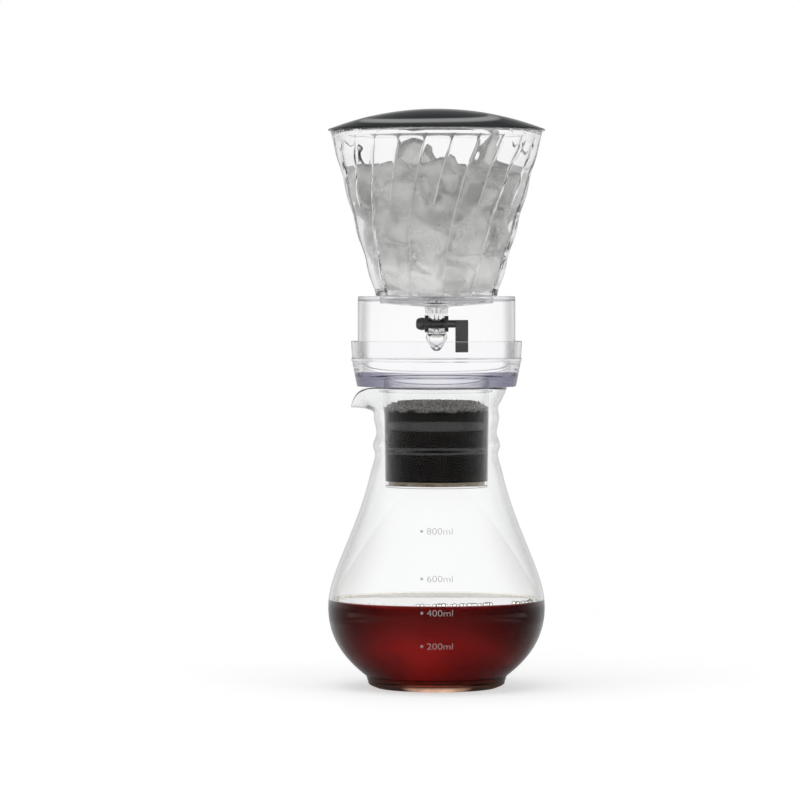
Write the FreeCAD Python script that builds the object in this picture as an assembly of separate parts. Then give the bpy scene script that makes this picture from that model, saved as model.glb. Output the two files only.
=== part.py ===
import FreeCAD, Part
import math
import os

# Cold drip coffee tower, in millimetres: +Z up, origin at the centre of the base.
# Bottom to top: carafe, collar, filter cup, drip chamber, water container, lid.

# ---- driving dimensions ----
CLEARANCE = 0.3             # loose gap between pieces that lift apart
RUNNING_FIT = 0.05          # radial gap of the tap's plug and its seals
SEATED_FIT = 0.02           # radial gap where one piece is pressed into another

# filter cup
cup_radius = 28.8           # outer radius under the flange
cup_draft = 0.9             # how much narrower the cup is at its bottom
cup_depth = 60.6            # flange underside to the cup's bottom
cup_wall = 1.3
cup_flange_width = 8.2
cup_flange_thickness = 1.8
cup_sill = 2.4              # width of the inner ledge that holds the filter plate
cup_sill_height = 1.0

# filter plate, paper and coffee grounds
plate_thickness = 1.5
plate_hole_radius = 0.8
plate_hole_rings = 4
paper_thickness = 0.8
grounds_depth = 39.1
grounds_mound = 5.5

# carafe
glass_wall = 1.8
carafe_height = 164.0
carafe_radius = 59.2
belly_height = 43.8
shoulder_height = 117.8
foot_radius = 38.4
foot_height = 6.4
foot_corner = 5.6           # width and height of the rounding under the foot
base_glass = 3.2
base_recess_radius = 27.0
base_recess = 1.0
neck_gap = 2.2              # between the cup and the narrowest ring of the neck
rim_flare = 5.6
neck_pinch = 0.7            # outside of the narrowest ring: under the flare,
upper_ring = 1.4            # the upper soft ring,
lower_ring = 1.9            # the lower soft ring,
neck_waist = 0.7            # the waist under it
shoulder_step = 3.0         # and the start of the shoulder
spout_reach = 7.8           # past the rim
spout_drop = 10.3           # tip below the rim
spout_slope = 2.5           # spout's floor rises this much to its tip
coffee_level = 49.0

# collar
collar_height = 24.8
collar_floor = 5.7
collar_ledge_height = 15.4
collar_wall = 1.5
collar_taper = 2.7
collar_flare = 0.6          # upright wall opens out this much to its top
collar_band = 0.5           # how far the band stands out
collar_band_height = 1.5
collar_spigot_depth = 3.0
collar_spigot_wall = 1.6

# drip chamber
chamber_radius = 42.9
chamber_height = 33.7
chamber_top = 2.1
chamber_wall = 2.2
chamber_foot_wall = 1.5
chamber_gap = 2.2           # between the chamber and the collar's upright wall
chamber_seat = 2.0          # width of the collar's ledge under the chamber's wall

# water container
container_height = 89.9
container_foot_radius = 31.0
container_foot_depth = 3.5
container_base_radius = 33.3
container_mouth_radius = 58.0
container_bulge = 0.6       # how far the wall bows out half way up
container_wall = 2.4
container_floor = 2.6
floor_fall = 2.1            # the floor falls this much to its outlet
flute_pairs = 12            # deep grooves, each pair of lobes between two of them
flute_depth = 1.2
flute_turn_low = 5.0        # degrees, angle of the first groove at the foot
flute_turn = 20.6           # degrees of twist from the foot to the mouth
flute_ease = 1.6            # over 1: the twist gathers towards the mouth
fine_start = 0.5            # share of the height where the fine grooves begin
fine_full = 0.85            # and where they are as deep as the others
lobe_roundness = 0.3        # how far a lobe's flanks lie in, as a share of the groove's depth
outlet_radius = 1.8
ice_level = 70.0            # above the container's foot
ice_mound = 3.0

# tap under the container
boss_radius = 6.3
boss_length = 3.0
stem_radius = 4.0
stem_length = 4.2
stem_seal_radius = 0.9
valve_flange_radius = 6.1
valve_flange_height = 1.1
barrel_radius = 4.0
barrel_length = 8.7
plug_radius = 2.4
plug_bore_radius = 1.0
seal_radius = 0.3           # round section of the plug's seal rings
seal_spacing = 6.4
nut_washer_radius = 4.6
lever_washer_radius = 4.35
washer_thickness = 2.1
washer_gap = 0.2            # between the washers and the valve's flange
nut_radius = 3.45
nut_length = 4.8
nut_cap = 1.0
nut_edge = 0.6              # rounding of the nut's outer end
thread_radius = 1.75
tang_size = 2.2
tang_length = 2.6
lever_hub_radius = 2.1
lever_hub_length = 3.8
lever_width = 7.0
lever_thickness = 4.0
lever_length = 15.8         # below the tap's axis
lever_edge = 0.5            # rounding of the lever's edges
spigot_radius = 2.6
spigot_length = 2.6
nozzle_radius = 5.9
nozzle_length = 11.0
nozzle_tip_radius = 0.9
nozzle_bore_radius = 0.7
nozzle_bulge = 1.8          # widest ring above the middle of the bulb
chin_height = 2.2           # from the tip up to the end of the bulb's round side
chin_radius = 2.95

# lid
lid_overhang = 1.2
lid_height = 12.0
lid_edge = 0.8
lid_wall = 1.8
lid_skirt_gap = 2.4
lid_skirt_wall = 1.3
lid_skirt_depth = 1.6       # below the container's rim
lid_skirt_rise = 1.7        # hollow above the rim, at the skirt

# ---- places that follow from them ----
collar_z = carafe_height
cup_z = collar_z + collar_floor
chamber_z = collar_z + collar_ledge_height
container_z = chamber_z + chamber_height
lid_z = container_z + container_height
cup_bottom_z = cup_z - cup_depth
plate_z = cup_bottom_z + cup_sill_height
paper_z = plate_z + plate_thickness
grounds_z = paper_z + paper_thickness
floor_under_z = container_z - container_foot_depth
boss_z = floor_under_z - floor_fall - boss_length
washer_reach = max(nut_washer_radius, lever_washer_radius) + washer_gap
tap_z = boss_z - valve_flange_height - washer_reach

neck_radius = cup_radius + neck_gap + glass_wall
rim_radius = neck_radius + rim_flare
mouth_bore = container_mouth_radius - container_wall
chamber_bore_top = chamber_radius - chamber_wall
collar_bore = chamber_radius - chamber_seat
collar_radius = chamber_radius + chamber_gap + collar_wall


def save(shape, name):
    os.makedirs("parts", exist_ok=True)
    shape.exportStep("parts/" + name + ".step")


def point(radius, height):
    return FreeCAD.Vector(radius, 0, height)


def turned(edges):
    """Solid turned about the Z axis from the edges of a closed half section."""
    face = Part.Face(Part.Wire(edges))
    return face.revolve(FreeCAD.Vector(0, 0, 0), FreeCAD.Vector(0, 0, 1), 360)


def lines(points):
    return [Part.LineSegment(a, b).toShape() for a, b in zip(points, points[1:])]


def lathe(pairs):
    """Solid turned from straight lines through (radius, height) pairs."""
    points = [point(r, z) for r, z in pairs]
    return turned(lines(points + points[:1]))


def cylinder_x(radius, start, length, height):
    """Cylinder along X at a height on the tap's side."""
    return Part.makeCylinder(radius, length, FreeCAD.Vector(start, 0, height), FreeCAD.Vector(1, 0, 0))


def spline(points, start, end):
    """Smooth curve through the points, leaving and arriving in the two directions."""
    curve = Part.BSplineCurve()
    curve.interpolate(Points=points, InitialTangent=start, FinalTangent=end)
    return curve.toShape()


def bezier(poles):
    curve = Part.BezierCurve()
    curve.setPoles(poles)
    return curve.toShape()


def dome_arc(radius, height, rise, inner_radius=0.0):
    """Arc of a ball centred on the Z axis, from a circle up to its crown."""
    ball = (radius ** 2 + rise ** 2) / (2 * rise)
    centre = height + rise - ball
    spots = [point(r, centre + math.sqrt(ball ** 2 - r ** 2))
             for r in (radius, (radius + inner_radius) / 2, inner_radius)]
    return Part.Arc(*spots).toShape()


def inset(points, distance):
    """The same points moved sideways off their line, towards the axis."""
    moved = []
    last = len(points) - 1
    for i, here in enumerate(points):
        along = points[min(i + 1, last)].sub(points[max(i - 1, 0)])
        along.normalize()
        moved.append(here.add(FreeCAD.Vector(along.z, 0, -along.x).multiply(distance)))
    return moved


# ---- carafe and what is in it ----

def neck_points():
    """Outside of the neck, rim down to shoulder: flare, pinch and two soft rings."""
    rise = carafe_height - shoulder_height
    steps = [
        (1.0, rim_flare), (0.85, neck_pinch + 0.4 * rim_flare), (0.75, neck_pinch), (0.63, upper_ring),
        (0.45, 0.0), (0.31, lower_ring), (0.20, neck_waist), (0.0, shoulder_step),
    ]
    return [point(neck_radius + out, shoulder_height + share * rise) for share, out in steps]


def shoulder_points():
    """Bezier poles from the shoulder down to the widest ring."""
    fall = shoulder_height - belly_height
    start = neck_radius + shoulder_step
    return [
        point(start, shoulder_height),
        point(start + 0.32 * (carafe_radius - start), shoulder_height - 0.45 * fall),
        point(carafe_radius, belly_height + 0.26 * fall),
        point(carafe_radius, belly_height),
    ]


def belly_points():
    """Bezier poles from the widest ring in to the foot."""
    fall = belly_height - foot_height
    return [
        point(carafe_radius, belly_height),
        point(carafe_radius, belly_height - 0.45 * fall),
        point(foot_radius + 0.59 * (carafe_radius - foot_radius), foot_height + 0.25 * fall),
        point(foot_radius, foot_height),
    ]


def joined(points, following):
    """A point list whose last point is moved onto the start of the following list."""
    return points[:-1] + following[:1]


def glass_edges(neck, shoulder, belly):
    """Neck, shoulder and belly as three curves that meet without a kink."""
    flare = neck[1].sub(neck[0]).normalize()
    fall = shoulder[1].sub(shoulder[0]).normalize()
    return [spline(neck, flare, fall), bezier(shoulder), bezier(belly)]


def carafe_bore(top):
    """Solid that fills the inside of the carafe up to a height."""
    belly = inset(belly_points(), glass_wall)
    shoulder = joined(inset(shoulder_points(), glass_wall), belly)
    neck = joined(inset(neck_points(), glass_wall), shoulder)
    neck[0] = mouth = point(neck[0].x, carafe_height)
    side = belly[-1]
    corner = point(side.x - foot_corner, base_glass)
    drop = side.z - base_glass
    heel = Part.Arc(side, point(side.x - 0.3 * foot_corner, base_glass + 0.3 * drop), corner).toShape()
    above = carafe_height + glass_wall
    middle = point(0, base_glass)
    crown = lines([middle, point(0, above), point(mouth.x, above), mouth])
    bore = turned(crown + glass_edges(neck, shoulder, belly) + [heel] + lines([corner, middle]))
    return bore.common(Part.makeCylinder(carafe_radius, top))


def spout_plan(radius, tip, low, high):
    """Upright wedge between the two tangents from a tip to a circle round the axis."""
    root = radius * radius / tip
    side = math.sqrt(radius ** 2 - root ** 2)
    corners = [(-tip, 0), (-root, side), (0, side), (0, -side), (-root, -side), (-tip, 0)]
    wire = Part.Wire(lines([FreeCAD.Vector(x, y, low) for x, y in corners]))
    return Part.Face(wire).extrude(FreeCAD.Vector(0, 0, high - low))


def spout_side(tip, tip_z):
    """The spout seen from the side: a sloping floor and a lip that bows down to the tip."""
    root = rim_radius * rim_radius / tip
    bow = math.sqrt(0.5)
    knee = FreeCAD.Vector(-root - bow * (tip - root), 0, tip_z + bow * spout_drop)
    start = FreeCAD.Vector(-root, 0, carafe_height)
    end = FreeCAD.Vector(-tip, 0, tip_z)
    under = FreeCAD.Vector(-neck_radius, 0, tip_z - spout_slope)
    back = [under, FreeCAD.Vector(0, 0, under.z), FreeCAD.Vector(0, 0, carafe_height), start]
    edges = [Part.Arc(start, knee, end).toShape()] + lines([end] + back)
    width = 2 * tip
    side = Part.Face(Part.Wire(edges)).extrude(FreeCAD.Vector(0, width, 0))
    return side.translate(FreeCAD.Vector(0, -width / 2, 0))


def carafe():
    belly = belly_points()
    shoulder = joined(shoulder_points(), belly)
    neck = joined(neck_points(), shoulder)
    flat = point(foot_radius - foot_corner, 0)
    heel = Part.Arc(belly[-1], point(foot_radius - 0.26 * foot_corner, 0.3 * foot_height), flat).toShape()
    axis = lines([flat, point(0, 0), point(0, carafe_height), neck[0]])
    outside = turned(glass_edges(neck, shoulder, belly) + [heel] + axis)
    tip = rim_radius + spout_reach
    tip_z = carafe_height - spout_drop
    beak = spout_plan(rim_radius, tip, 0, carafe_height).common(spout_side(tip, tip_z))
    inner_tip = tip - glass_wall * tip / rim_radius
    above = carafe_height + glass_wall
    gullet = spout_plan(rim_radius - glass_wall, inner_tip, tip_z + glass_wall, above)
    recess = Part.makeCone(base_recess_radius + base_recess, base_recess_radius, base_recess)
    return outside.fuse(beak).cut([gullet, carafe_bore(above), recess]).removeSplitter()


def brewed_coffee():
    return carafe_bore(coffee_level)


# ---- collar, filter cup and its filling ----

def collar():
    top = collar_z + collar_height
    ledge = chamber_z
    wide = collar_radius - collar_flare
    foot = wide - collar_taper
    band = wide + collar_band
    hole = cup_radius + CLEARANCE
    spigot = hole + collar_spigot_wall
    body = lathe([
        (hole, collar_z - collar_spigot_depth), (spigot, collar_z - collar_spigot_depth),
        (spigot, collar_z), (foot, collar_z), (wide, ledge - collar_band_height),
        (band, ledge - collar_band_height), (band, ledge), (wide, ledge), (collar_radius, top),
        (collar_radius - collar_wall, top), (collar_radius - collar_wall, ledge),
        (collar_bore, ledge), (collar_bore, cup_z), (hole, cup_z),
    ])
    corner = [e for e in body.Edges if on_ring(e, foot, collar_z)]
    return body.makeFillet(collar_wall / 2, corner)


def on_ring(edge, radius, height):
    """True for the circular edge of a turned piece at a radius and height."""
    curve = edge.Curve
    if not isinstance(curve, Part.Circle):
        return False
    return abs(curve.Radius - radius) < 0.01 and abs(curve.Center.z - height) < 0.01


def cup_bore_radius(height):
    """Inner radius of the tapering cup at a height."""
    share = (cup_z - height) / cup_depth
    return cup_radius - cup_wall - cup_draft * share


def filter_cup():
    flange = cup_radius + cup_flange_width
    top = cup_z + cup_flange_thickness
    foot = cup_radius - cup_draft
    sill = cup_bore_radius(cup_bottom_z) - cup_sill
    return lathe([
        (foot, cup_bottom_z), (cup_radius, cup_z), (flange, cup_z), (flange, top),
        (cup_bore_radius(cup_z), top), (cup_bore_radius(cup_z), cup_z),
        (cup_bore_radius(plate_z), plate_z), (sill, plate_z), (sill, cup_bottom_z),
    ])


def filter_plate():
    radius = cup_bore_radius(plate_z) - CLEARANCE
    plate = Part.makeCylinder(radius, plate_thickness, FreeCAD.Vector(0, 0, plate_z))
    pitch = (radius - cup_sill - plate_hole_radius) / (plate_hole_rings + 0.5)
    holes = [Part.makeCylinder(plate_hole_radius, plate_thickness, FreeCAD.Vector(0, 0, plate_z))]
    for ring in range(1, plate_hole_rings + 1):
        for i in range(6 * ring):
            angle = 2 * math.pi * i / (6 * ring)
            place = FreeCAD.Vector(ring * pitch * math.cos(angle), ring * pitch * math.sin(angle), plate_z)
            holes.append(Part.makeCylinder(plate_hole_radius, plate_thickness, place))
    return plate.cut(holes)


def paper_filter():
    radius = cup_bore_radius(plate_z) - CLEARANCE
    return Part.makeCylinder(radius, paper_thickness, FreeCAD.Vector(0, 0, paper_z))


def coffee_grounds():
    top = grounds_z + grounds_depth
    edge = cup_bore_radius(top) - SEATED_FIT
    crown = dome_arc(edge, top, grounds_mound)
    start = point(0, grounds_z)
    sides = lines([start, point(cup_bore_radius(grounds_z) - SEATED_FIT, grounds_z), point(edge, top)])
    return turned(sides + [crown] + lines([point(0, top + grounds_mound), start]))


# ---- drip chamber ----

def drip_chamber():
    top = chamber_z + chamber_height
    under = top - chamber_top
    hole = container_foot_radius + CLEARANCE
    body = lathe([
        (hole, under), (hole, top), (chamber_radius, top), (chamber_radius, chamber_z),
        (chamber_radius - chamber_foot_wall, chamber_z), (chamber_bore_top, under),
    ])
    corner = [e for e in body.Edges if on_ring(e, chamber_radius, top)]
    return body.makeFillet(chamber_foot_wall / 3, corner)


# ---- water container and what is in it ----

def container_radius(height):
    """Outer radius of the smooth cone, slightly bowed, at a height above the foot."""
    share = height / container_height
    spread = container_mouth_radius - container_base_radius
    return container_base_radius + spread * share + 4 * container_bulge * share * (1 - share)


def fluted_section(height):
    """Closed wire of convex lobes with a sharp groove between each two."""
    share = height / container_height
    turn = math.radians(flute_turn_low + flute_turn * share ** flute_ease)
    fine = min(1.0, max(0.0, (share - fine_start) / (fine_full - fine_start))) * flute_depth
    flank = lobe_roundness * flute_depth
    step = math.pi / flute_pairs
    crest = container_radius(height)
    points = []
    for i in range(4 * flute_pairs + 1):
        radius = crest - (flute_depth, flank, fine, flank)[i % 4]
        angle = turn + i * step / 2
        spot = FreeCAD.Vector(radius * math.cos(angle), radius * math.sin(angle), container_z + height)
        points.append(spot)
    points[-1] = points[0]
    arcs = [Part.Arc(points[i], points[i + 1], points[i + 2]).toShape()
            for i in range(0, 4 * flute_pairs, 2)]
    return Part.Wire(arcs)


def container_bore(top, gap=0.0):
    """Solid that fills the container's inside up to a height, a gap away from its walls."""
    floor_z = floor_under_z + container_floor + gap
    foot = container_base_radius - container_wall - gap
    mouth = mouth_bore - gap
    bow = (foot + mouth) / 2 + container_bulge
    rim = point(mouth, lid_z)
    above = lid_z + container_wall
    heel = point(foot, floor_z + container_wall)
    side = Part.Arc(heel, point(bow, (heel.z + lid_z) / 2), rim).toShape()
    dish = [point(0, floor_z - floor_fall), point(foot - container_wall, floor_z), heel]
    bore = turned(lines(dish) + [side] + lines([rim, point(mouth, above), point(0, above), dish[0]]))
    low = FreeCAD.Vector(0, 0, boss_z)
    return bore.common(Part.makeCylinder(container_mouth_radius, container_z + top - boss_z, low))


def water_container():
    levels = 7
    heights = [container_height * i / (levels - 1) for i in range(levels)]
    cone = Part.makeLoft([fluted_section(h) for h in heights], True, False)
    low = floor_under_z - floor_fall
    foot = lathe([
        (0, low), (boss_radius, low), (container_foot_radius, floor_under_z),
        (container_foot_radius, container_z + container_floor), (0, container_z + container_floor),
    ])
    boss = Part.makeCylinder(boss_radius, low - boss_z + container_floor, FreeCAD.Vector(0, 0, boss_z))
    body = cone.fuse([foot, boss])
    body = body.cut(container_bore(container_height + container_wall))
    outlet = Part.makeCylinder(outlet_radius, container_z - boss_z, FreeCAD.Vector(0, 0, boss_z))
    socket = Part.makeCylinder(stem_radius + SEATED_FIT, stem_length, FreeCAD.Vector(0, 0, boss_z))
    return body.cut([outlet, socket])


def ice_charge():
    """Heap of ice: fills the container to a level, with a low mound on top."""
    top = container_z + ice_level
    fill = container_bore(ice_level, CLEARANCE)
    edge = fill.BoundBox.XLength / 2
    crown = dome_arc(edge, top, ice_mound)
    mound = turned([crown] + lines([point(0, top + ice_mound), point(0, top), point(edge, top)]))
    return fill.fuse(mound).removeSplitter()


# ---- tap ----

def valve_body():
    """Clear stem, flange and cross barrel in one moulding, with a spigot for the nozzle."""
    under = boss_z - valve_flange_height
    stem = lathe([
        (0, tap_z), (barrel_radius, tap_z), (barrel_radius, under), (valve_flange_radius, under),
        (valve_flange_radius, boss_z), (stem_radius, boss_z), (stem_radius, boss_z + stem_length),
        (0, boss_z + stem_length),
    ])
    groove = Part.makeTorus(stem_radius, stem_seal_radius, FreeCAD.Vector(0, 0, boss_z + stem_length / 2))
    barrel = cylinder_x(barrel_radius, -barrel_length / 2, barrel_length, tap_z)
    way = tap_z - barrel_radius - spigot_length
    spigot = Part.makeCylinder(spigot_radius, tap_z - way, FreeCAD.Vector(0, 0, way))
    cross = cylinder_x(plug_radius + RUNNING_FIT, -barrel_length / 2, barrel_length, tap_z)
    drip_way = Part.makeCylinder(plug_bore_radius, boss_z + stem_length - way, FreeCAD.Vector(0, 0, way))
    return stem.fuse([barrel, spigot]).cut([groove, cross, drip_way])


def stem_seal():
    """Round rubber ring in the stem's groove, flattened against the boss."""
    middle = boss_z + stem_length / 2
    ring = Part.makeTorus(stem_radius, stem_seal_radius, FreeCAD.Vector(0, 0, middle))
    low = FreeCAD.Vector(0, 0, middle - stem_seal_radius)
    return ring.common(Part.makeCylinder(stem_radius, 2 * stem_seal_radius, low))


def drip_nozzle():
    """Clear bulb that is pushed onto the valve's spigot and ends in a fine tip."""
    top = tap_z - barrel_radius
    low = top - nozzle_length
    throat = barrel_length / 2 - washer_gap / 2
    shoulder = point(throat, tap_z - nut_washer_radius - washer_gap)
    widest = point(nozzle_radius, (shoulder.z + low) / 2 + nozzle_bulge)
    chin = point(chin_radius, low + chin_height)
    bulb = Part.Arc(shoulder, widest, chin).toShape()
    tip = [point(nozzle_tip_radius, low), point(0, low)]
    rest = lines([chin] + tip + [point(0, top), point(throat, top), shoulder])
    saddle = cylinder_x(barrel_radius + SEATED_FIT, -barrel_length, 2 * barrel_length, tap_z)
    base = top - spigot_length - nozzle_bore_radius
    socket = Part.makeCylinder(spigot_radius + SEATED_FIT, top - base, FreeCAD.Vector(0, 0, base))
    bore = Part.makeCylinder(nozzle_bore_radius, nozzle_length, FreeCAD.Vector(0, 0, low))
    return turned([bulb] + rest).cut([saddle, socket, bore])


def plug_half():
    """From the middle of the tap to the outer face of a washer."""
    return barrel_length / 2 + washer_thickness


def valve_plug():
    body = cylinder_x(plug_radius, -plug_half(), 2 * plug_half(), tap_z)
    thread = cylinder_x(thread_radius, -plug_half() - nut_length + nut_cap, nut_length - nut_cap, tap_z)
    corner = FreeCAD.Vector(plug_half(), -tang_size / 2, tap_z - tang_size / 2)
    tang = Part.makeBox(tang_length, tang_size, tang_size, corner)
    body = body.fuse([thread, tang])
    grooves = [seal_ring(x, RUNNING_FIT) for x in (-seal_spacing / 2, seal_spacing / 2)]
    bore = Part.makeCylinder(plug_bore_radius, 2 * plug_radius, FreeCAD.Vector(0, 0, tap_z - plug_radius))
    return body.cut(grooves + [bore])


def seal_ring(x, allowance):
    place = FreeCAD.Vector(x, 0, tap_z)
    axis = FreeCAD.Vector(1, 0, 0)
    return Part.makeTorus(plug_radius - seal_radius, seal_radius + allowance, place, axis)


def plug_seals():
    return Part.makeCompound([seal_ring(x, 0) for x in (-seal_spacing / 2, seal_spacing / 2)])


def washer(radius, start):
    disc = cylinder_x(radius, start, washer_thickness, tap_z)
    return disc.cut(cylinder_x(plug_radius + SEATED_FIT, start, washer_thickness, tap_z))


def nut_washer():
    return washer(nut_washer_radius, -plug_half())


def lever_washer():
    return washer(lever_washer_radius, barrel_length / 2)


def plug_nut():
    start = -plug_half() - nut_length
    body = cylinder_x(nut_radius, start, nut_length, tap_z)
    body = body.makeFillet(nut_edge, [e for e in body.Edges if abs(e.CenterOfMass.x - start) < 0.01])
    return body.cut(cylinder_x(thread_radius + SEATED_FIT, start + nut_cap, nut_length - nut_cap, tap_z))


def tap_lever():
    start = plug_half()
    hub = cylinder_x(lever_hub_radius, start, lever_hub_length + lever_width / 2, tap_z)
    foot = FreeCAD.Vector(start + lever_hub_length, -lever_thickness / 2, tap_z - lever_length)
    arm = Part.makeBox(lever_width, lever_thickness, lever_length + lever_hub_radius, foot)
    arm = arm.makeFillet(lever_edge, arm.Edges)
    size = tang_size + 2 * SEATED_FIT
    corner = FreeCAD.Vector(start, -size / 2, tap_z - size / 2)
    socket = Part.makeBox(tang_length + SEATED_FIT, size, size, corner)
    return hub.fuse(arm).cut(socket)


# ---- lid ----

def lid():
    """Thin domed cover with a flat rim and a skirt that keeps it central."""
    radius = container_mouth_radius + lid_overhang
    edge_z = lid_z + lid_edge
    top_z = lid_z + lid_height
    seat = mouth_bore - lid_skirt_gap
    outer = dome_arc(radius, edge_z, top_z - edge_z)
    under = dome_arc(seat, lid_z + lid_skirt_rise, top_z - lid_wall - lid_z - lid_skirt_rise)
    crown = lines([point(0, top_z), point(0, top_z - lid_wall)])
    brim = lines([point(seat, lid_z + lid_skirt_rise), point(seat, lid_z), point(radius, lid_z),
                  point(radius, edge_z)])
    cover = turned([outer] + crown + [under] + brim)
    skirt = lathe([
        (seat - lid_skirt_wall, lid_z - lid_skirt_depth), (seat, lid_z - lid_skirt_depth),
        (seat, lid_z + lid_skirt_rise + lid_edge), (seat - lid_skirt_wall, lid_z + lid_skirt_rise + lid_edge),
    ])
    return cover.fuse(skirt).removeSplitter()


pieces = {
    "carafe": carafe,
    "brewed_coffee": brewed_coffee,
    "collar": collar,
    "filter_cup": filter_cup,
    "filter_plate": filter_plate,
    "paper_filter": paper_filter,
    "coffee_grounds": coffee_grounds,
    "drip_chamber": drip_chamber,
    "water_container": water_container,
    "ice_charge": ice_charge,
    "valve_body": valve_body,
    "stem_seal": stem_seal,
    "drip_nozzle": drip_nozzle,
    "valve_plug": valve_plug,
    "plug_seals": plug_seals,
    "nut_washer": nut_washer,
    "lever_washer": lever_washer,
    "plug_nut": plug_nut,
    "tap_lever": tap_lever,
    "lid": lid,
}

for name, make in pieces.items():
    save(make(), name)
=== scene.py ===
import bpy
import bmesh
import math
import random
from mathutils import Matrix, Vector, noise
from mathutils.geometry import interpolate_bezier


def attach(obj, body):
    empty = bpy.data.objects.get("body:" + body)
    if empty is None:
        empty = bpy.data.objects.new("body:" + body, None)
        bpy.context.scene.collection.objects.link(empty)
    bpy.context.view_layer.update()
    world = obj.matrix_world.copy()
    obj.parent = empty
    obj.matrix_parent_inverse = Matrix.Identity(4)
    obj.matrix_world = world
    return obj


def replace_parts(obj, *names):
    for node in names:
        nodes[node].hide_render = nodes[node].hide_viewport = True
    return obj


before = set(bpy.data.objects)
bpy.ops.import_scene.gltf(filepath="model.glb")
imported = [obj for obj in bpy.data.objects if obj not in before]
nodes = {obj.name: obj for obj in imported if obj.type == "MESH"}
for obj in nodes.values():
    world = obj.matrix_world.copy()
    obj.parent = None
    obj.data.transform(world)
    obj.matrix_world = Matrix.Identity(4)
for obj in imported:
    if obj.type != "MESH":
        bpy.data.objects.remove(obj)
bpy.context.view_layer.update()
mm = 0.001

# ---- Carafe ----
# A pear-shaped carafe of blown borosilicate glass, 1.8 mm thick. The neck has two soft rings and
# flares to a fire-polished rim; the spout is pulled out of the hot rim with a tool, and the foot is
# pressed flat with a shallow hollow under it.
glass_wall = 1.8
neck_line = [(38.4, 163.2), (37.4, 160.6), (35.74, 157.07), (33.5, 152.45), (34.2, 146.9), (32.8, 138.6),
             (34.7, 132.1), (33.5, 127.0), (35.8, 117.8)]
shoulder_poles = [(35.8, 117.8), (43.29, 84.5), (59.1, 63.04), (59.1, 43.8)]
belly_poles = [(59.1, 43.8), (59.1, 26.97), (50.67, 15.75), (38.4, 6.4)]
heel_line = [(38.4, 6.4), (37.4, 3.4), (36.8, 1.8), (32.8, 0.0)]
base_line = [(32.8, 0.0), (29.5, 0.0), (27.4, 0.7), (22.0, 1.0), (0.0, 1.0)]
inner_foot_line = [(0.0, 3.2), (26.0, 3.2), (32.0, 3.6), (35.4, 5.4)]
inner_foot_top, inner_rim_foot, rim_middle = 6.2, 162.9, 163.1
heel_top, heel_inside = 3.4, 33.0


def corners(*points):
    """Points of an outline, each from its radius and height."""
    return [Vector((r, 0.0, z)) for r, z in points]


def through(points, count):
    """Smooth curve through a few (radius, height) points."""
    spots = corners(*points)
    ends = [spots[0]] + spots + [spots[-1]]
    curve = []
    for i in range(1, len(ends) - 2):
        reach = (ends[i + 1] - ends[i]).length / 3
        leave = (ends[i + 1] - ends[i - 1]).normalized() * reach
        arrive = (ends[i + 2] - ends[i]).normalized() * reach
        curve += interpolate_bezier(ends[i], ends[i] + leave, ends[i + 1] - arrive, ends[i + 1], count)[:-1]
    return curve + [spots[-1]]


def arc_of(poles, count):
    """Smooth curve from its four poles."""
    return interpolate_bezier(*corners(*poles), count)


def sideways(curve, distance):
    """The curve moved off its line, towards the axis when it runs downwards."""
    moved = []
    for i, here in enumerate(curve):
        along = (curve[min(i + 1, len(curve) - 1)] - curve[max(i - 1, 0)]).normalized()
        moved.append(here + Vector((along.z, 0.0, -along.x)) * distance)
    return moved


def turn(outline, steps):
    """Bmesh turned about Z from an outline in millimetres that is closed, or ends on the axis."""
    bm = bmesh.new()
    verts = [bm.verts.new(p * mm) for p in outline]
    for a, b in zip(verts, verts[1:]):
        bm.edges.new((a, b))
    if outline[0].x > 0 and outline[-1].x > 0:
        bm.edges.new((verts[-1], verts[0]))
    bmesh.ops.spin(bm, geom=verts + bm.edges[:], cent=(0, 0, 0), axis=(0, 0, 1), dvec=(0, 0, 0),
                   angle=2 * math.pi, steps=steps, use_merge=True, use_duplicate=False)
    bmesh.ops.remove_doubles(bm, verts=bm.verts, dist=1e-6)
    bmesh.ops.recalc_face_normals(bm, faces=bm.faces)
    return bm


def piece(name, bm, body, material, weighted=False):
    """Object from a bmesh, smooth, riding on a body."""
    mesh = bpy.data.meshes.new(name)
    bm.to_mesh(mesh)
    bm.free()
    mesh.shade_smooth()
    mesh.materials.append(material)
    obj = bpy.data.objects.new(name, mesh)
    bpy.context.scene.collection.objects.link(obj)
    if weighted:
        obj.modifiers.new("even_shading", "WEIGHTED_NORMAL").weight = 100
    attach(obj, body)
    return obj


def feed(made, inputs):
    """Gives a shader node its inputs: each is a value or another node's output."""
    for name, value in inputs.items():
        if isinstance(value, bpy.types.NodeSocket):
            made.id_data.links.new(value, made.inputs[name])
        else:
            made.inputs[name].default_value = value


def node(tree, kind, inputs, **settings):
    """Adds a shader node with its settings and inputs, and gives it back."""
    made = tree.nodes.new("ShaderNode" + kind)
    for name, value in settings.items():
        setattr(made, name, value)
    feed(made, inputs)
    return made


def maths(tree, operation, *values, clamp=False):
    """The result of a sum on numbers and other nodes' outputs."""
    return node(tree, "Math", dict(enumerate(values)), operation=operation, use_clamp=clamp).outputs["Value"]


def graded(tree, value, start, end, first=0.0, last=1.0):
    """Goes from the first level to the last while a value goes from start to end."""
    limits = {"Value": value, "From Min": start, "From Max": end, "To Min": first, "To Max": last}
    return node(tree, "MapRange", limits).outputs["Result"]


def mixed(tree, share, first, second):
    """Goes from the first colour or level to the second while the share goes from 0 to 1."""
    return node(tree, "Mix", {"Factor": share, "A": first, "B": second}, data_type="RGBA").outputs["Result"]


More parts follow.
